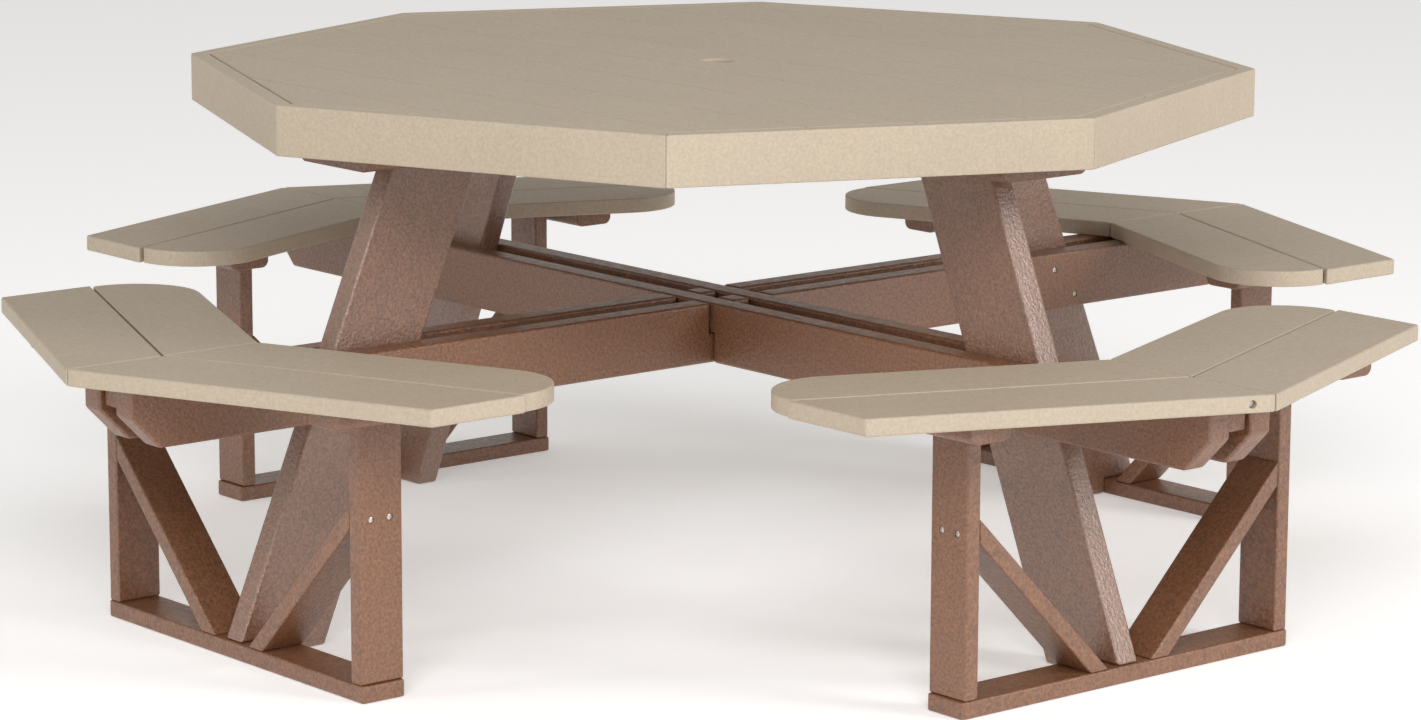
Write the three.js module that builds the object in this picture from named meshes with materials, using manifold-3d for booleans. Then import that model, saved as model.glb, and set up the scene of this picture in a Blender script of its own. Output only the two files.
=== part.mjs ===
// An octagonal picnic table of plastic lumber, with four angled benches on its crossed beams.
// Millimetres, +Z up. The origin is on the ground under the middle of the table. The four arms,
// each with a bench at its end, point along +X, +Y, -X and -Y, and the tabletop has a corner over
// each arm. Every arm is modelled along +X in a group of its own, which is then turned into place.
import * as THREE from "three";
import { mergeVertices } from "three/addons/utils/BufferGeometryUtils.js";
import Module from "manifold-3d";

// Overall sizes.
const TABLE_HEIGHT = 762;
const TOP_ACROSS_FLATS = 1452;
const SEAT_HEIGHT = 438.5;
const BENCH_REACH = 1128; // middle of the table to a bench's outer mitre corner
const BENCH_HALF_WIDTH = 522; // arm's centre line to the end of a bench

// Lumber: wide boards, half-width strips of the same thickness, and thicker frame lumber.
const BOARD_WIDTH = 140;
const BOARD_THICKNESS = 24;
const STRIP_WIDTH = 70;
const FRAME_THICKNESS = 38;
const BEAM_DEPTH = 89;
const LEG_WIDTH = 140;
const RAIL_WIDTH = 160;
const RAIL_THICKNESS = 45;
const EASE = 2.5; // chamfer along the edges of every piece

// Spaces between pieces.
const TOUCH = 0.3; // between pieces that bear on each other
const BOARD_GAP = 3; // between neighbouring boards of the top or of a seat
const APRON_GAP = 3; // between the apron and the ends of the top boards
const MITRE_GAP = 2.5; // between the two halves of a seat
const LAP_SLACK = 3; // on each side of a beam in its notch

// Tabletop.
const UMBRELLA_HOLE = 48;
const BATTEN_SPACING = 400;
const BATTEN_END_GAP = 15;
const RAIL_INSET = 67; // apron's inner corner to the end of a rail

// Benches and the trestles that carry them.
const INNER_BOARD_SETBACK = 7; // of the inner board's end from the end of the bench
const SEAT_END_RADIUS = 100; // round on the inner board's end, over its whole width if it fits
const BEAM_INSET = 63; // bench's outer mitre corner to the end of a beam
const BEAM_CHAMFER = 46;
const TRESTLE_INSET = 289.5; // bench's outer mitre corner to the middle of its trestle
const SILL_HALF_LENGTH = 311;
const POST_SETBACK = 3.5; // end of the sill to the outer face of a post
const BRACE_TOE = 40; // arm's centre line to the upper edge of a brace, on the sill
const BRACE_SLOPE = 1; // rise over run
const CLEAT_LENGTH = 233;
const CLEAT_HOUSING = 1; // depth that a seat cleat is let into the boards above it

// Legs.
const LEG_TOP_INSET = 166; // end of a rail to a leg's centre line, where the leg meets the rail
const LEG_FOOT_INSET = 34; // middle of the trestle to a leg's centre line, on the ground

const ARMS = ["east", "north", "west", "south"];
const SIDES = { left: 1, right: -1 };
const EIGHTH = Math.PI / 4;
const HALF_CORNER = Math.PI / 8; // half of the turn at each corner of the octagon, and of a bench
const ARC_STEPS = 8;
const HOLE_STEPS = 32;

// Heights, from the ground up.
const sillTop = BOARD_THICKNESS;
const seatUnderside = SEAT_HEIGHT - BOARD_THICKNESS;
const beamTop = seatUnderside - TOUCH;
const beamBottom = beamTop - BEAM_DEPTH;
const boardUnderside = TABLE_HEIGHT - BOARD_THICKNESS;
const battenUnderside = boardUnderside - TOUCH - BOARD_THICKNESS;
const railUnderside = battenUnderside - TOUCH - RAIL_THICKNESS;

// Distances from the middle of the table. The apron's are to its flat sides.
const apronOuter = TOP_ACROSS_FLATS / 2;
const apronInner = apronOuter - BOARD_THICKNESS;
const cornerOf = (flat) => flat / Math.cos(HALF_CORNER);
const railEnd = cornerOf(apronInner) - RAIL_INSET;
const beamEnd = BENCH_REACH - BEAM_INSET;
const beamCentre = FRAME_THICKNESS + TOUCH; // to the middle of a beam's thickness
const trestle = BENCH_REACH - TRESTLE_INSET;
const sillInner = trestle - STRIP_WIDTH / 2;
const sillOuter = trestle + STRIP_WIDTH / 2;
const postOuter = SILL_HALF_LENGTH - POST_SETBACK;
const postInner = postOuter - BOARD_THICKNESS;

const plastic = (color) => new THREE.MeshStandardMaterial({ color, roughness: 0.55, metalness: 0 });
const beige = () => plastic(0xb9a98f);
const brown = () => plastic(0x7f5c49);

const wasm = await Module();
wasm.setup();

// A closed geometry as a manifold solid.
function solidOf(geometry) {
  const bare = geometry.clone();
  bare.deleteAttribute("normal");
  bare.deleteAttribute("uv");
  const merged = mergeVertices(bare, 1e-4);
  const mesh = new wasm.Mesh({
    numProp: 3,
    vertProperties: merged.getAttribute("position").array,
    triVerts: new Uint32Array(merged.index.array),
  });
  return new wasm.Manifold(mesh);
}

// A manifold solid as a geometry with flat faces.
function geometryOf(solid) {
  const { vertProperties, triVerts } = solid.getMesh();
  const shared = new THREE.BufferGeometry();
  shared.setAttribute("position", new THREE.BufferAttribute(vertProperties, 3));
  shared.setIndex(new THREE.BufferAttribute(triVerts, 1));
  const flat = shared.toNonIndexed();
  flat.computeVertexNormals();
  return flat;
}

// A board: an outline of [x, y] points with its thickness along z, and all its edges eased.
// A board that the umbrella pole passes has a round hole at the middle of the table.
function board(outline, thickness, hasPoleHole = false) {
  const shape = new THREE.Shape(outline.map(([x, y]) => new THREE.Vector2(x, y)));
  if (hasPoleHole) {
    shape.holes.push(new THREE.Path().absarc(0, 0, UMBRELLA_HOLE / 2, 0, 2 * Math.PI, true));
  }
  const geometry = new THREE.ExtrudeGeometry(shape, {
    depth: thickness - 2 * EASE,
    curveSegments: HOLE_STEPS / 2,
    bevelThickness: EASE,
    bevelSize: EASE,
    bevelOffset: -EASE,
    bevelSegments: 1,
  });
  return geometry.translate(0, 0, EASE);
}

const rectangle = (x0, y0, x1, y1) => [
  [x0, y0],
  [x1, y0],
  [x1, y1],
  [x0, y1],
];

// The part of a convex outline where keep(point) is positive.
function clip(outline, keep) {
  return outline.flatMap((point, i) => {
    const next = outline[(i + 1) % outline.length];
    const [here, there] = [keep(point), keep(next)];
    const kept = here > 0 ? [point] : [];
    if (here * there < 0) {
      const share = here / (here - there);
      kept.push(point.map((value, axis) => value + share * (next[axis] - value)));
    }
    return kept;
  });
}

// The points of an arc of the given radius that rounds off a corner of an outline.
function roundedCorner(before, corner, after, radius) {
  const [p, c, n] = [before, corner, after].map(([x, y]) => new THREE.Vector2(x, y));
  const back = p.sub(c).normalize();
  const ahead = n.sub(c).normalize();
  const half = Math.acos(back.dot(ahead)) / 2;
  const centre = back.clone().add(ahead).normalize().multiplyScalar(radius / Math.sin(half)).add(c);
  const start = back.multiplyScalar(radius / Math.tan(half)).add(c).sub(centre);
  const end = ahead.multiplyScalar(radius / Math.tan(half)).add(c).sub(centre);
  const turn = Math.atan2(start.cross(end), start.dot(end));
  return Array.from({ length: ARC_STEPS + 1 }, (_, i) => {
    const angle = start.angle() + (turn * i) / ARC_STEPS;
    return [centre.x + radius * Math.cos(angle), centre.y + radius * Math.sin(angle)];
  });
}

function piece(name, geometry, material) {
  const mesh = new THREE.Mesh(geometry, material);
  mesh.name = name;
  return mesh;
}

// A board that lies flat with its underside at the given height.
function flatPiece(name, geometry, material, underside) {
  const mesh = piece(name, geometry, material);
  mesh.position.z = underside;
  return mesh;
}

// A board on edge along the arm: [outwards, up] points, with its thickness centred on y = middle.
function edgePiece(name, outline, thickness, middle) {
  const mesh = piece(name, board(outline, thickness), brown());
  mesh.rotation.x = Math.PI / 2;
  mesh.position.y = middle + thickness / 2;
  return mesh;
}

// A piece whose [across, up] outline faces along the arm, with its width centred on the trestle.
function crossPiece(name, outline, width) {
  const mesh = piece(name, board(outline, width), brown());
  mesh.quaternion.setFromRotationMatrix(
    new THREE.Matrix4().makeBasis(
      new THREE.Vector3(0, 1, 0),
      new THREE.Vector3(0, 0, 1),
      new THREE.Vector3(1, 0, 0),
    ),
  );
  mesh.position.x = trestle - width / 2;
  return mesh;
}

// The boards of the top run along X inside the apron, in rows numbered from -Y to +Y.
function topBoards() {
  const pitch = BOARD_WIDTH + BOARD_GAP;
  const reach = cornerOf(apronInner - APRON_GAP);
  const octagon = Array.from({ length: 8 }, (_, i) => [
    reach * Math.cos(i * EIGHTH),
    reach * Math.sin(i * EIGHTH),
  ]);
  const rowsEachSide = Math.ceil((reach - BOARD_WIDTH / 2) / pitch);
  return Array.from({ length: 2 * rowsEachSide + 1 }, (_, i) => {
    const row = i - rowsEachSide;
    const above = clip(octagon, ([, y]) => y - (row * pitch - BOARD_WIDTH / 2));
    const outline = clip(above, ([, y]) => row * pitch + BOARD_WIDTH / 2 - y);
    const name = "top_board_" + String(i + 1).padStart(2, "0");
    return flatPiece(name, board(outline, BOARD_THICKNESS, row === 0), beige(), boardUnderside);
  });
}

// The apron is eight strips on edge round the top boards, mitred at the corners.
function apron() {
  const halfSide = (flat) => flat * Math.tan(HALF_CORNER) - TOUCH / 2;
  const outline = [
    [apronInner, -halfSide(apronInner)],
    [apronOuter, -halfSide(apronOuter)],
    [apronOuter, halfSide(apronOuter)],
    [apronInner, halfSide(apronInner)],
  ];
  return Array.from({ length: 8 }, (_, i) => {
    const strip = board(outline, STRIP_WIDTH);
    const mesh = flatPiece("apron_" + (i + 1), strip, beige(), TABLE_HEIGHT - STRIP_WIDTH);
    mesh.rotation.z = (i + 0.5) * EIGHTH;
    return mesh;
  });
}

// Battens lie flat along Y under the top boards and tie them together.
function battens() {
  const corner = cornerOf(apronInner);
  return [-1, 0, 1].map((place, i) => {
    const middle = place * BATTEN_SPACING;
    const far = Math.abs(middle) + BOARD_WIDTH / 2;
    const toNearSide = corner - far * Math.tan(HALF_CORNER);
    const toNextSide = (corner - far) / Math.tan(HALF_CORNER);
    const end = Math.min(toNearSide, toNextSide) - BATTEN_END_GAP;
    const outline = rectangle(middle - BOARD_WIDTH / 2, -end, middle + BOARD_WIDTH / 2, end);
    const strip = board(outline, BOARD_THICKNESS, place === 0);
    return flatPiece("batten_" + (i + 1), strip, brown(), battenUnderside);
  });
}

// Two rails cross under the battens, half lapped into each other, and the legs stand under them.
function rails() {
  const outline = rectangle(-railEnd, -RAIL_WIDTH / 2, railEnd, RAIL_WIDTH / 2);
  const whole = solidOf(board(outline, RAIL_THICKNESS, true));
  const lap = RAIL_WIDTH + 2 * TOUCH;
  const notched = (middle) => {
    const notch = new THREE.BoxGeometry(lap, lap, RAIL_THICKNESS + TOUCH).translate(0, 0, middle);
    return geometryOf(whole.subtract(solidOf(notch)));
  };
  const upper = flatPiece("rail_x", notched(0), brown(), railUnderside);
  const lower = flatPiece("rail_y", notched(RAIL_THICKNESS), brown(), railUnderside);
  lower.rotation.z = Math.PI / 2;
  return [upper, lower];
}

// A beam's [along, up] outline, with a notch over each beam of the other pair. Both its lower
// corners are cut off. A beam of the first pair has its notches below, one of the second above.
function beamOutline(notchesBelow) {
  const halfSlot = FRAME_THICKNESS / 2 + LAP_SLACK;
  const lap = (beamTop + beamBottom) / 2 + ((notchesBelow ? 1 : -1) * TOUCH) / 2;
  const notches = (edge, direction) =>
    [-direction * beamCentre, direction * beamCentre].flatMap((middle) => [
      [middle - direction * halfSlot, edge],
      [middle - direction * halfSlot, lap],
      [middle + direction * halfSlot, lap],
      [middle + direction * halfSlot, edge],
    ]);
  return [
    [-beamEnd, beamBottom + BEAM_CHAMFER],
    [-beamEnd + BEAM_CHAMFER, beamBottom],
    ...(notchesBelow ? notches(beamBottom, 1) : []),
    [beamEnd - BEAM_CHAMFER, beamBottom],
    [beamEnd, beamBottom + BEAM_CHAMFER],
    [beamEnd, beamTop],
    ...(notchesBelow ? [] : notches(beamTop, -1)),
    [-beamEnd, beamTop],
  ];
}

// Beams run right through the table in crossed pairs, with a leg's thickness between the two.
function beams() {
  return ["x", "y"].map((axis, turn) => {
    const pair = new THREE.Group();
    pair.rotation.z = (turn * Math.PI) / 2;
    const outline = beamOutline(axis === "x");
    [beamCentre, -beamCentre].forEach((middle, i) => {
      pair.add(edgePiece("beam_" + axis + "_" + (i + 1), outline, FRAME_THICKNESS, middle));
    });
    return pair;
  });
}

// A leg leans outwards from the rail to the ground, between the two beams. Its foot is cut
// round the sill: the outer part stands on the sill and the inner part goes down beside it.
function leg(arm) {
  const top = railUnderside - TOUCH;
  const foot = trestle - LEG_FOOT_INSET;
  const lean = Math.atan((foot - (railEnd - LEG_TOP_INSET)) / top);
  const halfWidth = LEG_WIDTH / 2 / Math.cos(lean);
  const centreAt = (height) => foot - height * Math.tan(lean);
  const heel = sillTop + TOUCH;
  const outline = [
    [foot - halfWidth, 0],
    [sillInner - TOUCH, 0],
    [sillInner - TOUCH, heel],
    [centreAt(heel) + halfWidth, heel],
    [centreAt(top) + halfWidth, top],
    [centreAt(top) - halfWidth, top],
  ];
  return edgePiece(arm + "_leg", outline, FRAME_THICKNESS, 0);
}

// The sill lies on the ground across the arm.
function sill(arm) {
  const outline = rectangle(sillInner, -SILL_HALF_LENGTH, sillOuter, SILL_HALF_LENGTH);
  return flatPiece(arm + "_sill", board(outline, BOARD_THICKNESS), brown(), 0);
}

// A post stands near each end of the sill and carries the seat.
function post(arm, side) {
  const outline = rectangle(sillInner, sillTop + TOUCH, sillOuter, beamTop);
  const middle = (SIDES[side] * (postOuter + postInner)) / 2;
  return edgePiece(arm + "_" + side + "_post", outline, BOARD_THICKNESS, middle);
}

// A brace slopes from the sill, next to the leg, up to the inner face of the post.
function brace(arm, side) {
  const bottom = sillTop + TOUCH;
  const face = postInner - TOUCH;
  const run = face - BRACE_TOE;
  const heel = BRACE_TOE + BOARD_THICKNESS * Math.sqrt(1 + 1 / BRACE_SLOPE ** 2);
  const outline = [
    [BRACE_TOE, bottom],
    [heel, bottom],
    [face, bottom + (face - heel) * BRACE_SLOPE],
    [face, bottom + run * BRACE_SLOPE],
  ].map(([across, up]) => [SIDES[side] * across, up]);
  return crossPiece(arm + "_" + side + "_brace", outline, STRIP_WIDTH);
}

// One half of a bench: an outer and an inner board, mitred on the arm's centre line, with a cleat
// under both of them just outside the post. The outer board's end is cut along the arm. The inner
// board's is set back a little and rounded, as far as the board is wide.
function seat(arm, side) {
  const edge = (inset, across) => [
    BENCH_REACH - across * Math.tan(HALF_CORNER) - inset / Math.cos(HALF_CORNER),
    across,
  ];
  const mitre = MITRE_GAP / 2;
  const innerFront = BOARD_WIDTH + BOARD_GAP;
  const innerBack = innerFront + BOARD_WIDTH;
  const innerEnd = BENCH_HALF_WIDTH - INNER_BOARD_SETBACK;
  const straight = 0.75 * EASE; // that the eased edge needs beside the round
  const widestRound = (BOARD_WIDTH / Math.cos(HALF_CORNER) - straight) * Math.tan(1.5 * HALF_CORNER);
  const outerBoard = [
    edge(0, mitre),
    edge(0, BENCH_HALF_WIDTH),
    edge(BOARD_WIDTH, BENCH_HALF_WIDTH),
    edge(BOARD_WIDTH, mitre),
  ];
  const innerBoard = [
    edge(innerBack, mitre),
    edge(innerFront, mitre),
    edge(innerFront, innerEnd),
    ...roundedCorner(
      edge(innerFront, innerEnd),
      edge(innerBack, innerEnd),
      edge(innerBack, mitre),
      Math.min(SEAT_END_RADIUS, widestRound),
    ),
  ];
  const cleatInner = postOuter + TOUCH;
  const cleat = rectangle(
    trestle - CLEAT_LENGTH / 2,
    cleatInner,
    trestle + CLEAT_LENGTH / 2,
    cleatInner + STRIP_WIDTH,
  );
  const placed = (outline, underside) => {
    const handed = outline.map(([outwards, across]) => [outwards, SIDES[side] * across]);
    return solidOf(board(handed, BOARD_THICKNESS).translate(0, 0, underside));
  };
  const joined = placed(outerBoard, seatUnderside)
    .add(placed(innerBoard, seatUnderside))
    .add(placed(cleat, seatUnderside - BOARD_THICKNESS + CLEAT_HOUSING));
  return piece(arm + "_" + side + "_seat", geometryOf(joined), beige());
}

const table = new THREE.Group();
table.add(...topBoards(), ...apron(), ...battens(), ...rails(), ...beams());
ARMS.forEach((arm, i) => {
  const group = new THREE.Group();
  group.rotation.z = (i * Math.PI) / 2;
  group.add(leg(arm), sill(arm));
  for (const side of Object.keys(SIDES)) {
    group.add(post(arm, side), brace(arm, side), seat(arm, side));
  }
  table.add(group);
});

export default table;
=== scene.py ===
"""An octagonal picnic table of plastic lumber, with four angled benches on crossed beams.

Every length is in metres. The table stands on the ground at the origin, +Z is up, and its four
arms point along +X, +Y, -X and -Y. A trestle and its bench are built along +X, where x runs
outwards and y across the arm, and are then turned to their own arm.
"""

import logging
import math
from dataclasses import dataclass, field
from enum import Enum
from typing import Callable, Dict, Iterable, List, Optional, Sequence, Tuple, Union

import bmesh
import bpy
from mathutils import Matrix, Vector


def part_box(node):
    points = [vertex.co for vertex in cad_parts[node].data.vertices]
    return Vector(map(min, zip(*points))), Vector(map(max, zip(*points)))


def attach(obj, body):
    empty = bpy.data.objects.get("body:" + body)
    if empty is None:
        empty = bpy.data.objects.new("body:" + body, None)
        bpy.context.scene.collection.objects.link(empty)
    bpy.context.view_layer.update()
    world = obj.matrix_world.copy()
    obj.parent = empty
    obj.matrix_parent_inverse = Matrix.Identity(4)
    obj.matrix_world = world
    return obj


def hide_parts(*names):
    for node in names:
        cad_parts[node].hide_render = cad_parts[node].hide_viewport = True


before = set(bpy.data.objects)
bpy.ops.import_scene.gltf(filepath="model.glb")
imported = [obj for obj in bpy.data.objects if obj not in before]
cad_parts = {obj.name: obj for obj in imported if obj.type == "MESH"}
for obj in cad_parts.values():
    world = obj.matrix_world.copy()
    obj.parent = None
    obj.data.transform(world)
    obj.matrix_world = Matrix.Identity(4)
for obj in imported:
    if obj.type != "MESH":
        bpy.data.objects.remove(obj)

logging.basicConfig(level=logging.INFO, format="%(message)s")
LOG = logging.getLogger("picnic_table")

Point = Tuple[float, float]
Place = Tuple[float, float, float]
Color = Tuple[float, float, float]

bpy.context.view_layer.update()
MM = 0.001
HALF_CORNER = math.pi / 8
EIGHTH = math.pi / 4
SHARP_ANGLE = math.radians(38)
EASED_ANGLE = math.radians(30)  # the least turn between two faces whose edge is eased
EASE_SEGMENTS = 4
NOISE_RANGE = (0.32, 0.68)  # where nearly all of a noise pattern lies
NOISE_ROUGHNESS = 0.6
SCREW_CLEARANCE = 0.3 * MM  # between a screw head and its hole
SCREW_HEIGHT = 3.1 * MM
SCREW_TURN = 0.3  # of the cross recess, in radians


# ---------------------------------------------------------------- finishes


class Slot(Enum):
    """The record's material slots."""

    BOARD = "board"
    FRAME = "frame"


class NodeGraph:
    """Short calls for building a material's nodes."""

    def __init__(self, material: bpy.types.Material) -> None:
        """Starts from the material's own Principled BSDF.

        Args:
            material: the material whose nodes are built.
        """
        material.use_nodes = True
        self.tree = material.node_tree
        self.shader = self.tree.nodes["Principled BSDF"]

    def add(self, kind: str, inputs: Optional[dict] = None, **settings: object) -> bpy.types.Node:
        """Adds a node.

        Args:
            kind: Blender's node type name.
            inputs: socket name to a value, or to the output socket that feeds it.
            settings: the node's own properties.

        Returns:
            The new node.
        """
        made = self.tree.nodes.new(kind)
        for key, value in settings.items():
            setattr(made, key, value)
        for key, value in (inputs or {}).items():
            self.feed(made.inputs[key], value)
        return made

    def feed(self, socket: bpy.types.NodeSocket, value: object) -> None:
        """Links an output to a socket, or sets the socket's own value."""
        if isinstance(value, bpy.types.NodeSocket):
            self.tree.links.new(value, socket)
        else:
            socket.default_value = value

    def noise(self, place: bpy.types.NodeSocket, size: float, detail: float = 2.0) -> bpy.types.NodeSocket:
        """Gives a noise pattern.

        Args:
            place: the coordinates that it follows.
            size: the length of one blotch.
            detail: how much finer noise it holds.

        Returns:
            The pattern's value from 0 to 1.
        """
        inputs = {"Vector": place, "Scale": 1 / size, "Detail": detail,
                  "Roughness": NOISE_ROUGHNESS}
        return self.add("ShaderNodeTexNoise", inputs).outputs["Fac"]

    def spread(self, value: bpy.types.NodeSocket, low: float, high: float) -> bpy.types.NodeSocket:
        """Maps the middle of a noise pattern onto a range.

        Args:
            value: a pattern from 0 to 1 that keeps near its middle.
            low: the result where the pattern is at its usual lowest.
            high: the result where it is at its usual highest.

        Returns:
            The mapped value.
        """
        inputs = {"Value": value, "From Min": NOISE_RANGE[0], "From Max": NOISE_RANGE[1],
                  "To Min": low, "To Max": high}
        return self.add("ShaderNodeMapRange", inputs).outputs["Result"]


@dataclass(frozen=True)
class LumberFinish:
    """Mottled plastic lumber: pebbled skin, fine flecks and a slow drift in tone."""

    name: str
    base: Color
    fleck: float  # depth of the fine mottle, as a share of the colour
    drift: float  # depth of the slow change along a piece
    gloss: Tuple[float, float]  # roughness from the smoothest to the dullest spot
    pebble: float  # height of the pebbled skin, in metres
    shine: float  # strength of the reflection, where 0.5 is plain plastic
    coat: float = 0.0  # weight of a glossier outer skin
    coat_roughness: float = 0.36
    pebble_size: float = 5 * MM
    fleck_size: float = 4.4 * MM
    drift_size: float = 160 * MM
    drift_share: float = 0.35  # of the slow drift in the final colour

    def shade(self, share: float) -> Tuple[float, float, float, float]:
        """Gives the base colour made lighter or darker by a share."""
        return (*(channel * (1 + share) for channel in self.base), 1.0)

    def material(self) -> bpy.types.Material:
        """Builds the finish.

        Returns:
            The material with its nodes.
        """
        made = bpy.data.materials.new(self.name)
        graph = NodeGraph(made)
        place = graph.add("ShaderNodeTexCoord").outputs["Object"]
        flecks = graph.spread(graph.noise(place, self.fleck_size, 3.0), 0.0, 1.0)
        drift = graph.spread(graph.noise(place, self.drift_size), 0.0, 1.0)
        mottled = self.mix(graph, flecks, self.shade(-self.fleck), self.shade(self.fleck))
        tinted = self.mix(graph, drift, self.shade(-self.drift), self.shade(self.drift))
        blend = self.mix(graph, self.drift_share, mottled, tinted)
        graph.feed(graph.shader.inputs["Base Color"], blend)
        dull = graph.spread(graph.noise(place, self.pebble_size * 2, 2.0), *self.gloss)
        graph.feed(graph.shader.inputs["Roughness"], dull)
        graph.feed(graph.shader.inputs["Specular IOR Level"], self.shine)
        graph.feed(graph.shader.inputs["Coat Weight"], self.coat)
        graph.feed(graph.shader.inputs["Coat Roughness"], self.coat_roughness)
        skin = self.skin(graph, place)
        graph.feed(graph.shader.inputs["Normal"], skin)
        graph.feed(graph.shader.inputs["Coat Normal"], skin)
        return made

    @staticmethod
    def mix(graph: NodeGraph, factor: object, low: object, high: object) -> bpy.types.NodeSocket:
        """Blends two colours.

        Args:
            graph: the material's nodes.
            factor: the share of the second colour, a number or a pattern from 0 to 1.
            low: the colour at 0, plain or from a socket.
            high: the colour at 1, plain or from a socket.

        Returns:
            The blended colour.
        """
        made = graph.add("ShaderNodeMix", {"Factor": factor}, data_type="RGBA")
        graph.feed(made.inputs[6], low)
        graph.feed(made.inputs[7], high)
        return made.outputs[2]

    def skin(self, graph: NodeGraph, place: bpy.types.NodeSocket) -> bpy.types.NodeSocket:
        """Builds the pebbled skin.

        Args:
            graph: the material's nodes.
            place: the coordinates that it follows.

        Returns:
            The bent normal.
        """
        height = graph.noise(place, self.pebble_size, 2.5)
        inputs = {"Height": height, "Strength": 1.0, "Distance": self.pebble}
        return graph.add("ShaderNodeBump", inputs).outputs["Normal"]


@dataclass(frozen=True)
class MetalFinish:
    """Plated screw steel with a fine unevenness in its polish."""

    name: str
    base: Color
    roughness: Tuple[float, float] = (0.25, 0.4)
    grain_size: float = 1.2 * MM

    def material(self) -> bpy.types.Material:
        """Builds the finish.

        Returns:
            The material with its nodes.
        """
        made = bpy.data.materials.new(self.name)
        graph = NodeGraph(made)
        place = graph.add("ShaderNodeTexCoord").outputs["Object"]
        grain = graph.noise(place, self.grain_size)
        graph.feed(graph.shader.inputs["Metallic"], 1.0)
        graph.feed(graph.shader.inputs["Base Color"], (*self.base, 1.0))
        graph.feed(graph.shader.inputs["Roughness"], graph.spread(grain, *self.roughness))
        return made


BEIGE = LumberFinish("beige_lumber", (0.45, 0.374, 0.285), 0.12, 0.05, (0.46, 0.62), 0.6 * MM, 0.25)
BROWN = LumberFinish("brown_lumber", (0.19, 0.081, 0.037), 0.60, 0.10, (0.32, 0.46), 1.3 * MM, 0.9)
LEG_BROWN = LumberFinish("leg_brown_lumber", (0.205, 0.098, 0.055), 0.60, 0.10, (0.32, 0.46), 1.3 * MM, 1.0,
                         0.75)
STEEL = MetalFinish("screw_steel", (0.62, 0.6, 0.57))
Finish = Union[LumberFinish, MetalFinish]


# ---------------------------------------------------------------- mesh making


class Lay(Enum):
    """How a board's own x, y and thickness lie in its arm's frame."""

    FLAT = ((1, 0, 0), (0, 1, 0), (0, 0, 1))
    ON_EDGE = ((1, 0, 0), (0, 0, 1), (0, -1, 0))
    ACROSS = ((0, 1, 0), (0, 0, 1), (1, 0, 0))

    def matrix(self, offset: Sequence[float]) -> Matrix:
        """Gives the matrix that lays a board and moves it.

        Args:
            offset: the place of the board's own origin.

        Returns:
            The matrix.
        """
        columns = Matrix(self.value).transposed().to_4x4()
        return Matrix.Translation(Vector(offset)) @ columns


@dataclass(frozen=True)
class Bore:
    """A hole from a face into a piece, and what sits in it."""

    place: Place
    outwards: Place
    radius: float = 4.6 * MM
    depth: float = 4 * MM
    flare: float = 0.4 * MM
    has_screw: bool = True

    def matrix(self) -> Matrix:
        """Turns +Z to the way out of the hole, at the middle of its mouth."""
        turn = Vector(self.outwards).to_track_quat("Z", "Y").to_matrix().to_4x4()
        return Matrix.Translation(Vector(self.place)) @ turn


def rectangle(x0: float, y0: float, x1: float, y1: float) -> List[Point]:
    """Gives a rectangle's corners."""
    return [(x0, y0), (x1, y0), (x1, y1), (x0, y1)]


def rounded(outline: Sequence[Point], radii: Dict[int, float], steps: int = 10) -> List[Point]:
    """Rounds chosen corners of an outline.

    Args:
        outline: the corners in order.
        radii: corner number to radius.
        steps: the number of chords in each round.

    Returns:
        The new outline.
    """
    points: List[Point] = []
    for i, corner in enumerate(outline):
        if i not in radii:
            points.append(corner)
            continue
        middle = Vector(corner)
        back = (Vector(outline[i - 1]) - middle).normalized()
        ahead = (Vector(outline[(i + 1) % len(outline)]) - middle).normalized()
        half = back.angle(ahead) / 2
        centre = middle + (back + ahead).normalized() * radii[i] / math.sin(half)
        start = middle + back * radii[i] / math.tan(half) - centre
        end = middle + ahead * radii[i] / math.tan(half) - centre
        turn = math.atan2(start.x * end.y - start.y * end.x, start.dot(end))
        for step in range(steps + 1):
            angle = turn * step / steps
            spoke = Matrix.Rotation(angle, 2) @ start
            points.append((centre.x + spoke.x, centre.y + spoke.y))
    return points


def clip(outline: Sequence[Point], keep: Callable[[Point], float]) -> List[Point]:
    """Cuts a convex outline.

    Args:
        outline: the corners in order.
        keep: positive for a point on the side that stays.

    Returns:
        The corners of what stays.
    """
    kept: List[Point] = []
    for i, point in enumerate(outline):
        after = outline[(i + 1) % len(outline)]
        here, there = keep(point), keep(after)
        if here > 0:
            kept.append(point)
        if here * there < 0:
            share = here / (here - there)
            kept.append(tuple(a + share * (b - a) for a, b in zip(point, after)))
    return kept


def object_from(name: str, mesh: bpy.types.Mesh) -> bpy.types.Object:
    """Makes an object of a mesh and links it to the scene."""
    made = bpy.data.objects.new(name, mesh)
    bpy.context.scene.collection.objects.link(made)
    return made


def applied(source: bpy.types.Object) -> bpy.types.Mesh:
    """Applies an object's modifiers.

    Args:
        source: the object, which is removed.

    Returns:
        The finished mesh.
    """
    graph = bpy.context.evaluated_depsgraph_get()
    mesh = bpy.data.meshes.new_from_object(source.evaluated_get(graph))
    mesh.name = source.name
    bpy.data.objects.remove(source)
    return mesh


def prism(name: str, outline: Sequence[Point], thickness: float) -> bpy.types.Mesh:
    """Makes a closed prism.

    Args:
        name: the mesh's name.
        outline: its corners in order, either way round.
        thickness: its depth along +z.

    Returns:
        The mesh.
    """
    shape = bmesh.new()
    low = [shape.verts.new((x, y, 0)) for x, y in outline]
    high = [shape.verts.new((x, y, thickness)) for x, y in outline]
    shape.faces.new(low)
    shape.faces.new(high)
    for i in range(len(outline)):
        after = (i + 1) % len(outline)
        shape.faces.new((low[i], low[after], high[after], high[i]))
    bmesh.ops.recalc_face_normals(shape, faces=shape.faces)
    mesh = bpy.data.meshes.new(name)
    shape.to_mesh(mesh)
    shape.free()
    return mesh


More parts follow.
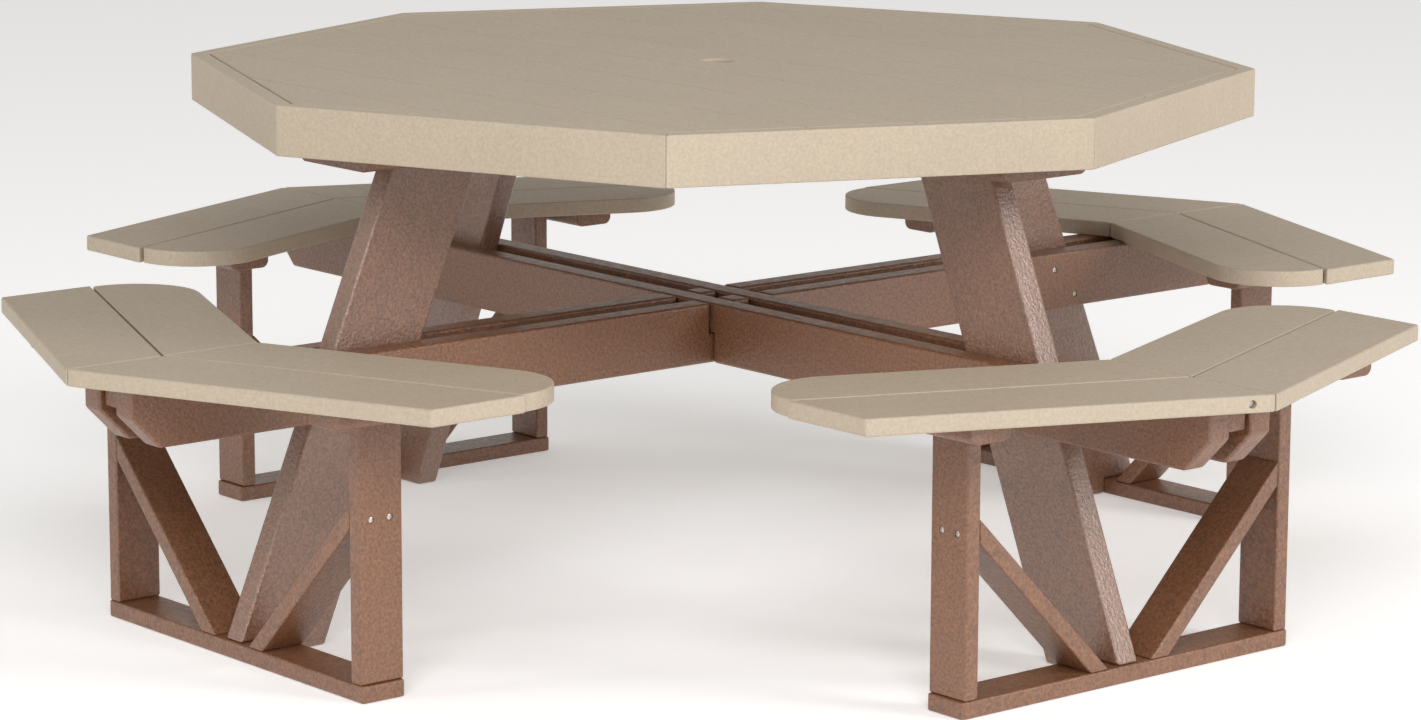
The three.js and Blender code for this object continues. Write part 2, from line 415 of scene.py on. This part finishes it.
def lathe(name: str, profile: Sequence[Point], steps: int = 32) -> bpy.types.Mesh:
    """Turns a profile about the z axis.

    Args:
        name: the mesh's name.
        profile: (radius, height) points from the bottom to the top; both ends are capped.
        steps: the number of sides.

    Returns:
        The closed mesh.
    """
    shape = bmesh.new()
    rings = []
    for radius, height in profile:
        angles = [2 * math.pi * i / steps for i in range(steps)]
        ring = [shape.verts.new((radius * math.cos(a), radius * math.sin(a), height)) for a in angles]
        rings.append(ring)
    for below, above in zip(rings, rings[1:]):
        for i in range(steps):
            after = (i + 1) % steps
            shape.faces.new((below[i], below[after], above[after], above[i]))
    shape.faces.new(rings[0])
    shape.faces.new(rings[-1])
    bmesh.ops.recalc_face_normals(shape, faces=shape.faces)
    mesh = bpy.data.meshes.new(name)
    shape.to_mesh(mesh)
    shape.free()
    return mesh


def cut(mesh: bpy.types.Mesh, cutters: Iterable[bpy.types.Mesh]) -> bpy.types.Mesh:
    """Cuts meshes out of a mesh.

    Args:
        mesh: the mesh to cut.
        cutters: closed meshes in the same frame.

    Returns:
        The cut mesh.
    """
    body = object_from(mesh.name, mesh)
    tools = [object_from("cutter", cutter) for cutter in cutters]
    for tool in tools:
        modifier = body.modifiers.new("cut", "BOOLEAN")
        modifier.object = tool
        modifier.solver = "EXACT"
    result = applied(body)
    for tool in tools:
        bpy.data.objects.remove(tool)
    return result


def smooth(mesh: bpy.types.Mesh) -> None:
    """Smooths a mesh's small roundings and keeps its real corners sharp.

    Args:
        mesh: the mesh to shade.
    """
    shape = bmesh.new()
    shape.from_mesh(mesh)
    for face in shape.faces:
        face.smooth = True
    for edge in shape.edges:
        edge.smooth = edge.calc_face_angle(0.0) < SHARP_ANGLE
    shape.to_mesh(mesh)
    shape.free()


@dataclass
class Workshop:
    """Makes pieces from outlines and hands each one to the frame."""

    materials: Dict[Finish, bpy.types.Material] = field(default_factory=dict)
    made: List[bpy.types.Object] = field(default_factory=list)

    def material(self, finish: Finish) -> bpy.types.Material:
        """Gives a finish's material, building it the first time."""
        if finish not in self.materials:
            self.materials[finish] = finish.material()
        return self.materials[finish]

    def eased(self, name: str, outline: Sequence[Point], thickness: float, ease: float) -> bpy.types.Mesh:
        """Makes a board with rounded edges.

        Args:
            name: the mesh's name.
            outline: the corners of its wide face.
            thickness: its depth along its own z.
            ease: the radius along its edges.

        Returns:
            The mesh in the board's own frame.
        """
        body = object_from(name, prism(name, outline, thickness))
        bevel = body.modifiers.new("ease", "BEVEL")
        bevel.width = ease
        bevel.segments = EASE_SEGMENTS
        bevel.limit_method = "ANGLE"
        bevel.angle_limit = EASED_ANGLE
        return applied(body)

    def piece(self, name: str, mesh: bpy.types.Mesh, finish: Finish, slot: Slot,
              nodes: Sequence[str] = (), turn: float = 0.0) -> bpy.types.Object:
        """Finishes a piece and hands it to the frame.

        Args:
            name: the piece's name.
            mesh: its mesh in its arm's frame.
            finish: its finish.
            slot: the record's slot; not used.
            nodes: the CAD nodes that it stands for.
            turn: the angle of its arm.

        Returns:
            The piece.
        """
        mesh.transform(Matrix.Rotation(turn, 4, "Z"))
        smooth(mesh)
        mesh.materials.clear()
        mesh.materials.append(self.material(finish))
        made = object_from(name, mesh)
        made.modifiers.new("flat_faces", "WEIGHTED_NORMAL").keep_sharp = True
        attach(made, "root")
        if nodes:
            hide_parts(*nodes)
        self.made.append(made)
        return made

    def bored(self, mesh: bpy.types.Mesh, bores: Sequence[Bore]) -> bpy.types.Mesh:
        """Cuts round holes into a mesh.

        Args:
            mesh: the mesh in its arm's frame.
            bores: the holes in the same frame.

        Returns:
            The cut mesh.
        """
        cutters = []
        for bore in bores:
            mouth = bore.radius + bore.flare
            profile = [(bore.radius, -bore.depth), (bore.radius, -bore.flare), (mouth, 0), (mouth, MM)]
            cutter = lathe("bore", profile)
            cutter.transform(bore.matrix())
            cutters.append(cutter)
        return cut(mesh, cutters) if cutters else mesh

    def screws(self, name: str, bores: Sequence[Bore], slot: Slot, turn: float) -> None:
        """Puts a screw head into each hole that has one.

        Args:
            name: the start of the screws' names.
            bores: the holes in the arm's frame.
            slot: the record's slot.
            turn: the angle of the arm.
        """
        filled = [bore for bore in bores if bore.has_screw]
        for i, bore in enumerate(filled, 1):
            mesh = self.screw_head(bore)
            self.piece(f"{name}_{i}", mesh, STEEL, slot, turn=turn)

    def screw_head(self, bore: Bore) -> bpy.types.Mesh:
        """Makes a domed screw head with a cross recess, seated in a hole.

        Args:
            bore: the hole.

        Returns:
            The mesh in the arm's frame.
        """
        rim = bore.radius - SCREW_CLEARANCE
        top = -bore.depth + SCREW_HEIGHT
        profile = [(rim * 0.6, -bore.depth), (rim, top - 1.1 * MM), (rim, top - 0.7 * MM),
                   (rim * 0.86, top - 0.25 * MM), (rim * 0.5, top), (rim * 0.1, top + 0.05 * MM)]
        head = lathe("screw_head", profile, 24)
        arms = []
        for angle in (SCREW_TURN, SCREW_TURN + math.pi / 2):
            half_length, half_width = rim * 0.6, rim * 0.13
            arm = prism("recess", rectangle(-half_length, -half_width, half_length, half_width), 1.6 * MM)
            arm.transform(Matrix.Rotation(angle, 4, "Z"))
            arm.transform(Matrix.Translation((0, 0, top - 1.2 * MM)))
            arms.append(arm)
        head = cut(head, arms)
        head.transform(bore.matrix())
        return head


# ---------------------------------------------------------------- lumber sizes


@dataclass(frozen=True)
class Lumber:
    """The stock that the table is cut from, and the spaces between its pieces."""

    board_width: float = 140 * MM
    board_thickness: float = 24 * MM
    strip_width: float = 70 * MM
    frame_thickness: float = 38 * MM
    leg_width: float = 140 * MM
    touch: float = 0.3 * MM
    board_gap: float = 3 * MM
    board_ease: float = 2.2 * MM
    strip_ease: float = 3 * MM
    frame_ease: float = 4.5 * MM


@dataclass
class Tabletop:
    """The octagonal top: parallel boards inside a mitred apron."""

    shop: Workshop
    lumber: Lumber
    across_flats: float = 1452 * MM
    apron_gap: float = 3 * MM
    umbrella_radius: float = 24 * MM
    hole_flare: float = 2.5 * MM
    hole_depth: float = 80 * MM
    apron_ease: float = 1.8 * MM
    top: float = 0.0

    def __post_init__(self) -> None:
        """Takes the height from the frame."""
        self.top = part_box("apron_1")[1].z

    @property
    def apron_outer(self) -> float:
        """The distance from the middle to the apron's outer faces."""
        return self.across_flats / 2

    @property
    def apron_inner(self) -> float:
        """The distance from the middle to the apron's inner faces."""
        return self.apron_outer - self.lumber.board_thickness

    def build(self) -> None:
        """Builds the boards and the apron."""
        self.boards()
        self.apron()

    def boards(self) -> None:
        """Builds the parallel boards, in rows from -Y to +Y."""
        stock = self.lumber
        pitch = stock.board_width + stock.board_gap
        reach = (self.apron_inner - self.apron_gap) / math.cos(HALF_CORNER)
        octagon = [(reach * math.cos(i * EIGHTH), reach * math.sin(i * EIGHTH)) for i in range(8)]
        rows = math.ceil((reach - stock.board_width / 2) / pitch)
        for number, row in enumerate(range(-rows, rows + 1), 1):
            low = row * pitch - stock.board_width / 2
            high = row * pitch + stock.board_width / 2
            outline = clip(octagon, lambda point: point[1] - low)
            outline = clip(outline, lambda point: high - point[1])
            name = f"top_board_{number:02d}"
            mesh = self.shop.eased(name, outline, stock.board_thickness, stock.board_ease)
            mesh.transform(Matrix.Translation((0, 0, self.top - stock.board_thickness)))
            if row == 0:
                mesh = self.shop.bored(mesh, [self.umbrella_hole(self.top)])
            self.shop.piece(f"deck_{name}", mesh, BEIGE, Slot.BOARD, [name])

    def umbrella_hole(self, mouth: float) -> Bore:
        """Gives the hole for the umbrella pole.

        Args:
            mouth: the height of its mouth.

        Returns:
            The hole, deep enough to pass through any one piece.
        """
        return Bore((0, 0, mouth), (0, 0, 1), self.umbrella_radius, self.hole_depth, self.hole_flare,
                    has_screw=False)

    def apron(self) -> None:
        """Builds the eight apron boards."""
        stock = self.lumber
        tangent = math.tan(HALF_CORNER)
        outline = [(face, side * (face * tangent - stock.touch / 2))
                   for face, side in ((self.apron_inner, -1), (self.apron_outer, -1),
                                      (self.apron_outer, 1), (self.apron_inner, 1))]
        for i in range(8):
            name = f"apron_{i + 1}"
            mesh = self.shop.eased(name, outline, stock.strip_width, self.apron_ease)
            mesh.transform(Matrix.Translation((0, 0, self.top - stock.strip_width)))
            self.shop.piece(f"rim_{name}", mesh, BEIGE, Slot.BOARD, [name], (i + 0.5) * EIGHTH)


@dataclass
class UnderTop:
    """The battens and the crossed rails under the tabletop."""

    shop: Workshop
    lumber: Lumber
    tabletop: Tabletop
    lower_round: float = 13 * MM
    lap_touch: float = 0.3 * MM

    def build(self) -> None:
        """Builds the three battens and the two rails."""
        for i in (1, 2, 3):
            self.batten(f"batten_{i}")
        self.rail("rail_x", 0.0, -1)
        self.rail("rail_y", math.pi / 2, 1)

    def batten(self, name: str) -> None:
        """Builds a flat batten in its node's place.

        Args:
            name: the node's name.
        """
        low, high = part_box(name)
        outline = rectangle(low.x, low.y, high.x, high.y)
        mesh = self.shop.eased(name, outline, high.z - low.z, self.lumber.strip_ease)
        mesh.transform(Matrix.Translation((0, 0, low.z)))
        if low.x < 0 < high.x:
            mesh = self.shop.bored(mesh, [self.tabletop.umbrella_hole(high.z)])
        self.shop.piece(f"flat_{name}", mesh, BROWN, Slot.FRAME, [name])

    def rail(self, name: str, turn: float, lap_side: int) -> None:
        """Builds a rail with rounded lower edges, half lapped at its middle.

        Args:
            name: the node's name.
            turn: the angle of its length.
            lap_side: 1 if the lap is cut from above, -1 if from below.
        """
        low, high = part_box(name)
        half_length = max(high.x, high.y)
        half_width = min(high.x, high.y)
        depth = high.z - low.z
        section = rounded(rectangle(-half_width, 0, half_width, depth),
                          {0: self.lower_round, 1: self.lower_round})
        mesh = self.shop.eased(name, section, 2 * half_length, self.lumber.strip_ease)
        mesh.transform(Lay.ACROSS.matrix((-half_length, 0, low.z)))
        reach = half_width + self.lap_touch
        notch = prism("notch", rectangle(-reach, -reach, reach, reach), depth + self.lap_touch)
        middle = low.z + depth / 2 + lap_side * (depth / 2)
        bottom = middle - (depth + self.lap_touch) / 2
        notch.transform(Matrix.Translation((0, 0, bottom)))
        mesh = cut(mesh, [notch])
        mesh = self.shop.bored(mesh, [self.tabletop.umbrella_hole(high.z)])
        self.shop.piece(f"cross_{name}", mesh, BROWN, Slot.FRAME, [name], turn)


@dataclass
class Beams:
    """The two crossed pairs of beams, notched over each other in the middle."""

    shop: Workshop
    lumber: Lumber
    chamfer: float = 46 * MM
    lap_slack: float = 3 * MM
    end: float = 0.0
    bottom: float = 0.0
    top: float = 0.0
    leg_screws: Tuple[Point, ...] = ((645 * MM, 387 * MM), (690 * MM, 345 * MM))

    def __post_init__(self) -> None:
        """Takes the beams' extent from the frame."""
        low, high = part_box("beam_x_1")
        self.end, self.bottom, self.top = high.x, low.z, high.z

    def outline(self, notches_below: bool) -> List[Point]:
        """Gives a beam's outline, [along, up], with its bottom at 0.

        Args:
            notches_below: whether the notches are cut from below, not from above.

        Returns:
            The corners.
        """
        depth = self.top - self.bottom
        centre = self.lumber.frame_thickness + self.lumber.touch
        slot = self.lumber.frame_thickness / 2 + self.lap_slack
        way = 1 if notches_below else -1
        lap = depth / 2 + way * self.lumber.touch / 2
        edge = 0.0 if notches_below else depth
        notches: List[Point] = []
        for middle in (-way * centre, way * centre):
            notches += [(middle - way * slot, edge), (middle - way * slot, lap),
                        (middle + way * slot, lap), (middle + way * slot, edge)]
        lower = [(-self.end, self.chamfer), (-self.end + self.chamfer, 0)]
        upper = [(self.end - self.chamfer, 0), (self.end, self.chamfer), (self.end, depth)]
        if notches_below:
            return lower + notches + upper + [(-self.end, depth)]
        return lower + upper + notches + [(-self.end, depth)]

    def build(self) -> None:
        """Builds the four beams with the screws that hold the legs."""
        for axis, turn in (("x", 0.0), ("y", math.pi / 2)):
            outline = self.outline(axis == "x")
            for number, side in ((1, 1), (2, -1)):
                self.beam(f"beam_{axis}_{number}", outline, side, turn)

    def beam(self, name: str, outline: Sequence[Point], side: int, turn: float) -> None:
        """Builds one beam.

        Args:
            name: the node's name.
            outline: its outline.
            side: 1 or -1, the side of the arm's centre line that it lies on.
            turn: the angle of its length.
        """
        stock = self.lumber
        middle = side * (stock.frame_thickness + stock.touch)
        mesh = self.shop.eased(name, outline, stock.frame_thickness, stock.frame_ease)
        mesh.transform(Lay.ON_EDGE.matrix((0, middle + stock.frame_thickness / 2, self.bottom)))
        face = middle + side * stock.frame_thickness / 2
        bores = [Bore((end * x, face, z), (0, side, 0)) for end in (1, -1) for x, z in self.leg_screws]
        mesh = self.shop.bored(mesh, bores)
        self.shop.piece(f"long_{name}", mesh, BROWN, Slot.FRAME, [name], turn)
        self.shop.screws(f"{name}_screw", bores, Slot.FRAME, turn)


class Arm(Enum):
    """The four arms, by the number of quarter turns from +X."""

    EAST = 0
    NORTH = 1
    WEST = 2
    SOUTH = 3

    @property
    def word(self) -> str:
        """The arm's name in the frame's node names."""
        return self.name.lower()

    @property
    def turn(self) -> float:
        """The angle from +X to the arm."""
        return self.value * math.pi / 2


class Side(Enum):
    """The two sides of an arm, seen from the middle of the table."""

    LEFT = 1
    RIGHT = -1

    @property
    def word(self) -> str:
        """The side's name in the frame's node names."""
        return self.name.lower()


@dataclass
class Trestle:
    """One arm's leg, sill, posts, braces and the block between the beam ends."""

    shop: Workshop
    lumber: Lumber
    arm: Arm
    leg_round: float = 4.5 * MM
    sill_corner: float = 5 * MM
    brace_toe: float = 40 * MM
    leg_foot_inset: float = 34 * MM
    post_screw_height: float = 248 * MM
    post_screw_spacing: float = 30 * MM
    block_start: float = 842 * MM
    block_end: float = 1058 * MM
    block_depth: float = 37 * MM

    def __post_init__(self) -> None:
        """Takes the trestle's places from the frame, on the arm along +X."""
        sill_low, sill_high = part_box("east_sill")
        post_low, post_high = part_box("east_left_post")
        leg_low, leg_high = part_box("east_leg")
        self.sill_inner, self.sill_outer = sill_low.x, sill_high.x
        self.sill_half, self.sill_top = sill_high.y, sill_high.z
        self.post_inner, self.post_outer = post_low.y, post_high.y
        self.post_top = post_high.z
        self.leg_low, self.leg_high = leg_low, leg_high
        self.middle = (self.sill_inner + self.sill_outer) / 2

    def build(self) -> None:
        """Builds the trestle's pieces."""
        self.leg()
        self.sill()
        self.block()
        for side in Side:
            self.post(side)
            self.brace(side)

    def name(self, *words: str) -> str:
        """Joins the arm's name and more words into a node's name."""
        return "_".join((self.arm.word, *words))

    def leg(self) -> None:
        """Builds the leaning leg, cut round the sill at its foot."""
        stock = self.lumber
        top = self.leg_high.z
        foot = self.middle - self.leg_foot_inset
        lean = self.lean(top, foot)
        half = stock.leg_width / 2 / math.cos(lean)
        heel = self.sill_top + stock.touch
        sill = self.sill_inner - stock.touch

        def centre(height: float) -> float:
            """The leg's centre line at a height."""
            return foot - height * math.tan(lean)

        outline = [(foot - half, 0), (sill, 0), (sill, heel), (centre(heel) + half, heel),
                   (centre(top) + half, top), (centre(top) - half, top)]
        mesh = self.shop.eased(self.name("leg"), outline, stock.frame_thickness, self.leg_round)
        mesh.transform(Lay.ON_EDGE.matrix((0, stock.frame_thickness / 2, 0)))
        self.shop.piece(self.name("leaning_leg"), mesh, LEG_BROWN, Slot.FRAME, [self.name("leg")],
                        self.arm.turn)

    def lean(self, top: float, foot: float) -> float:
        """Finds the leg's lean, which puts its upper inner corner where the frame has it.

        Args:
            top: the height of its upper end.
            foot: where its centre line meets the ground.

        Returns:
            The angle from upright.
        """
        run = foot - self.leg_low.x
        half = self.lumber.leg_width / 2
        return math.acos(half / math.hypot(run, top)) - math.atan2(top, run)

    def sill(self) -> None:
        """Builds the sill with rounded corners."""
        outline = rounded(rectangle(self.sill_inner, -self.sill_half, self.sill_outer, self.sill_half),
                          {i: self.sill_corner for i in range(4)}, 4)
        mesh = self.shop.eased(self.name("sill"), outline, self.sill_top, self.lumber.strip_ease)
        self.shop.piece(self.name("ground_sill"), mesh, BROWN, Slot.FRAME, [self.name("sill")], self.arm.turn)

    def post(self, side: Side) -> None:
        """Builds a post with its two screws.

        Args:
            side: the side of the arm.
        """
        stock = self.lumber
        foot = self.sill_top + stock.touch
        thickness = self.post_outer - self.post_inner
        outline = rectangle(self.sill_inner, foot, self.sill_outer, self.post_top)
        node = self.name(side.word, "post")
        mesh = self.shop.eased(node, outline, thickness, stock.strip_ease)
        back = max(side.value * self.post_inner, side.value * self.post_outer)
        mesh.transform(Lay.ON_EDGE.matrix((0, back, 0)))
        face = side.value * self.post_outer
        bores = [Bore((self.middle + step * self.post_screw_spacing / 2, face, self.post_screw_height),
                      (0, side.value, 0)) for step in (-1, 1)]
        mesh = self.shop.bored(mesh, bores)
        self.shop.piece(self.name(side.word, "upright_post"), mesh, BROWN, Slot.FRAME, [node], self.arm.turn)
        self.shop.screws(f"{node}_screw", bores, Slot.FRAME, self.arm.turn)

    def brace(self, side: Side) -> None:
        """Builds a brace from the sill up to the post.

        Args:
            side: the side of the arm.
        """
        stock = self.lumber
        bottom = self.sill_top + stock.touch
        face = self.post_inner - stock.touch
        heel = self.brace_toe + stock.board_thickness * math.sqrt(2)
        outline = [(self.brace_toe, bottom), (heel, bottom), (face, bottom + face - heel),
                   (face, bottom + face - self.brace_toe)]
        outline = [(side.value * across, up) for across, up in outline]
        node = self.name(side.word, "brace")
        mesh = self.shop.eased(node, outline, self.sill_outer - self.sill_inner, stock.strip_ease)
        mesh.transform(Lay.ACROSS.matrix((self.sill_inner, 0, 0)))
        self.shop.piece(self.name(side.word, "slanted_brace"), mesh, BROWN, Slot.FRAME, [node], self.arm.turn)

    def block(self) -> None:
        """Builds the block between the ends of the two beams."""
        stock = self.lumber
        top = self.post_top
        half = stock.frame_thickness / 2 - stock.touch
        outline = rectangle(self.block_start, top - self.block_depth, self.block_end, top)
        mesh = self.shop.eased(self.name("block"), outline, 2 * half, stock.frame_ease)
        mesh.transform(Lay.ON_EDGE.matrix((0, half, 0)))
        self.shop.piece(self.name("mitre_block"), mesh, BROWN, Slot.FRAME, (), self.arm.turn)


@dataclass
class Bench:
    """One arm's seat: two mitred halves of two boards each, and their end cleats."""

    shop: Workshop
    lumber: Lumber
    arm: Arm
    half_width: float = 522 * MM
    inner_setback: float = 7 * MM
    end_radius: float = 100 * MM
    mitre_gap: float = 2.5 * MM
    cleat_length: float = 233 * MM
    cleat_round: float = 12 * MM
    hole_from_mitre: float = 34 * MM
    hole_radius: float = 5.5 * MM
    hole_depth: float = 9 * MM
    seat_ease: float = 3.2 * MM

    def __post_init__(self) -> None:
        """Takes the bench's places from the frame, on the arm along +X."""
        seat_low, seat_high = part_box("east_left_seat")
        self.top = seat_high.z
        self.reach = seat_high.x + self.mitre_gap / 2 * math.tan(HALF_CORNER)
        sill_low, sill_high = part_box("east_sill")
        self.trestle = (sill_low.x + sill_high.x) / 2
        self.post_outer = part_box("east_left_post")[1].y

    def edge(self, inset: float, across: float) -> Point:
        """Gives a point of the seat's plan.

        Args:
            inset: how far it is inside the outer edge.
            across: how far it is from the arm's centre line.

        Returns:
            The point, outwards and across.
        """
        outwards = self.reach - across * math.tan(HALF_CORNER) - inset / math.cos(HALF_CORNER)
        return outwards, across

    def build(self) -> None:
        """Builds both halves."""
        for side in Side:
            self.boards(side)
            self.cleat(side)

    def board(self, side: Side, word: str, outline: Sequence[Point], bores: Sequence[Bore],
              nodes: Sequence[str]) -> None:
        """Builds one seat board.

        Args:
            side: the side of the arm.
            word: outer or inner.
            outline: its plan on the left side.
            bores: its holes.
            nodes: the CAD nodes that it stands for.
        """
        name = f"{self.arm.word}_{side.word}_{word}_seat_board"
        handed = [(x, side.value * y) for x, y in outline]
        mesh = self.shop.eased(name, handed, self.lumber.board_thickness, self.seat_ease)
        mesh.transform(Matrix.Translation((0, 0, self.top - self.lumber.board_thickness)))
        mesh = self.shop.bored(mesh, bores)
        self.shop.piece(name, mesh, BEIGE, Slot.BOARD, nodes, self.arm.turn)
        self.shop.screws(f"{name}_screw", bores, Slot.BOARD, self.arm.turn)

    def boards(self, side: Side) -> None:
        """Builds the outer and the inner board of a half.

        Args:
            side: the side of the arm.
        """
        stock = self.lumber
        mitre = self.mitre_gap / 2
        front = stock.board_width + stock.board_gap
        back = front + stock.board_width
        end = self.half_width - self.inner_setback
        outer = [self.edge(0, mitre), self.edge(0, self.half_width),
                 self.edge(stock.board_width, self.half_width), self.edge(stock.board_width, mitre)]
        inner = [self.edge(back, mitre), self.edge(front, mitre), self.edge(front, end),
                 self.edge(back, end)]
        node = f"{self.arm.word}_{side.word}_seat"
        has_hole = self.arm is Arm.EAST and side is Side.RIGHT
        self.board(side, "outer", outer, [self.edge_hole(side)] if has_hole else [], [node])
        self.board(side, "inner", rounded(inner, {3: self.end_radius}, 24), [], [])

    def edge_hole(self, side: Side) -> Bore:
        """Gives the screw hole in the outer edge, near the mitre.

        Args:
            side: the side of the arm.

        Returns:
            The hole.
        """
        across = self.hole_from_mitre * math.cos(HALF_CORNER)
        x, y = self.edge(0, across)
        outwards = (math.cos(HALF_CORNER), side.value * math.sin(HALF_CORNER), 0)
        height = self.top - self.lumber.board_thickness / 2
        return Bore((x, side.value * y, height), outwards, self.hole_radius, self.hole_depth)

    def cleat(self, side: Side) -> None:
        """Builds the cleat under the seat's end, with its lower edges rounded.

        Args:
            side: the side of the arm.
        """
        stock = self.lumber
        near = self.post_outer + stock.touch
        top = self.top - stock.board_thickness - stock.touch
        section = rounded(rectangle(near, top - stock.board_thickness, near + stock.strip_width, top),
                          {0: self.cleat_round, 1: self.cleat_round}, 8)
        section = [(side.value * across, up) for across, up in section]
        name = f"{self.arm.word}_{side.word}_seat_cleat"
        mesh = self.shop.eased(name, section, self.cleat_length, stock.strip_ease)
        mesh.transform(Lay.ACROSS.matrix((self.trestle - self.cleat_length / 2, 0, 0)))
        self.shop.piece(name, mesh, BROWN, Slot.FRAME, (), self.arm.turn)


# ---------------------------------------------------------------- studio


KEY_HEADING = math.radians(-42)


@dataclass(frozen=True)
class SoftBox:
    """A rectangular soft light."""

    name: str
    place: Place
    aim: Place
    size: Point
    power: float  # in watts
    color: Color = (1, 1, 1)

    def build(self) -> None:
        """Hangs the light at its place, facing its aim."""
        data = bpy.data.lights.new(self.name, "AREA")
        data.shape = "RECTANGLE"
        data.size, data.size_y = self.size
        data.energy = self.power
        data.color = self.color
        lamp = bpy.data.objects.new(self.name, data)
        bpy.context.scene.collection.objects.link(lamp)
        way = Vector(self.aim) - Vector(self.place)
        turn = way.to_track_quat("-Z", "Y").to_matrix().to_4x4()
        lamp.matrix_world = Matrix.Translation(Vector(self.place)) @ turn


@dataclass
class Studio:
    """The floor, the lights and the camera."""

    eye: Place = (5.0282, -4.2341, 1.5854)
    heading: float = math.radians(139.98)
    tilt: float = math.radians(-10.95)
    roll: float = math.radians(0.21)
    lens: float = 113.87
    sensor: float = 36.0
    floor_size: float = 80.0
    floor_depth: float = 20 * MM
    floor_drop: float = 0.5 * MM  # below the table's feet
    key: SoftBox = SoftBox("key", (7 * math.cos(KEY_HEADING), 7 * math.sin(KEY_HEADING), 5.1),
                           (0, 0, 0.5), (4.6, 3.2), 375.0, (0.98, 0.985, 1.0))
    right: SoftBox = SoftBox("right", (7.4, 3.4, 4.0), (0.4, 0, 0.45), (2.8, 4.2), 305.0)
    left: SoftBox = SoftBox("left", (-2.2, -7.8, 3.5), (0, -0.6, 0.35), (1.3, 3.6), 66.0)
    horizon_strength: float = 0.85
    zenith_strength: float = 0.2
    floor_glow: float = 0.3

    def build(self) -> None:
        """Builds the studio."""
        self.floor()
        self.world()
        self.lights()
        self.camera()
        settings = bpy.context.scene.view_settings
        settings.view_transform = "Standard"
        settings.look = "None"

    def floor(self) -> None:
        """Builds the pale floor."""
        half = self.floor_size / 2
        mesh = prism("floor", rectangle(-half, -half, half, half), self.floor_depth)
        mesh.transform(Matrix.Translation((0, 0, -self.floor_depth - self.floor_drop)))
        finish = bpy.data.materials.new("pale_floor")
        graph = NodeGraph(finish)
        graph.feed(graph.shader.inputs["Base Color"], (0.9, 0.9, 0.9, 1))
        graph.feed(graph.shader.inputs["Roughness"], 0.9)
        graph.feed(graph.shader.inputs["Emission Color"], (1, 1, 1, 1))
        graph.feed(graph.shader.inputs["Emission Strength"], self.floor_glow)
        mesh.materials.append(finish)
        object_from("floor", mesh)

    def world(self) -> None:
        """Fills the surroundings with soft light."""
        world = bpy.data.worlds.new("soft_room")
        bpy.context.scene.world = world
        world.use_nodes = True
        nodes, links = world.node_tree.nodes, world.node_tree.links
        up = nodes.new("ShaderNodeSeparateXYZ")
        links.new(nodes.new("ShaderNodeTexCoord").outputs["Generated"], up.inputs[0])
        fade = nodes.new("ShaderNodeMapRange")
        links.new(up.outputs["Z"], fade.inputs["Value"])
        for name, value in zip(("To Min", "To Max"), (self.horizon_strength, self.zenith_strength)):
            fade.inputs[name].default_value = value
        background = nodes["Background"]
        background.inputs["Color"].default_value = (1, 0.975, 0.935, 1)
        links.new(fade.outputs["Result"], background.inputs["Strength"])

    def lights(self) -> None:
        """Hangs the key light in front of the table and a weaker one at each side."""
        for box in (self.key, self.right, self.left):
            box.build()

    def camera(self) -> None:
        """Sets the camera up."""
        data = bpy.data.cameras.new("camera")
        data.lens = self.lens
        data.sensor_width = self.sensor
        data.clip_end = 200
        camera = bpy.data.objects.new("camera", data)
        bpy.context.scene.collection.objects.link(camera)
        forward = Vector((math.cos(self.tilt) * math.cos(self.heading),
                          math.cos(self.tilt) * math.sin(self.heading), math.sin(self.tilt)))
        right = forward.cross(Vector((0, 0, 1))).normalized()
        up = right.cross(forward)
        across = math.cos(self.roll) * right + math.sin(self.roll) * up
        above = math.cos(self.roll) * up - math.sin(self.roll) * right
        turn = Matrix((across, above, -forward)).transposed().to_4x4()
        camera.matrix_world = Matrix.Translation(Vector(self.eye)) @ turn
        bpy.context.scene.camera = camera


def main() -> None:
    """Builds the table and its studio."""
    Studio().build()
    shop = Workshop()
    lumber = Lumber()
    tabletop = Tabletop(shop, lumber)
    tabletop.build()
    UnderTop(shop, lumber, tabletop).build()
    Beams(shop, lumber).build()
    for arm in Arm:
        Trestle(shop, lumber, arm).build()
        Bench(shop, lumber, arm).build()
    for made in shop.made:
        LOG.info("%s: %d faces", made.name, len(made.data.polygons))
    LOG.info("%d pieces in all", len(shop.made))


if __name__ == "__main__":
    main()
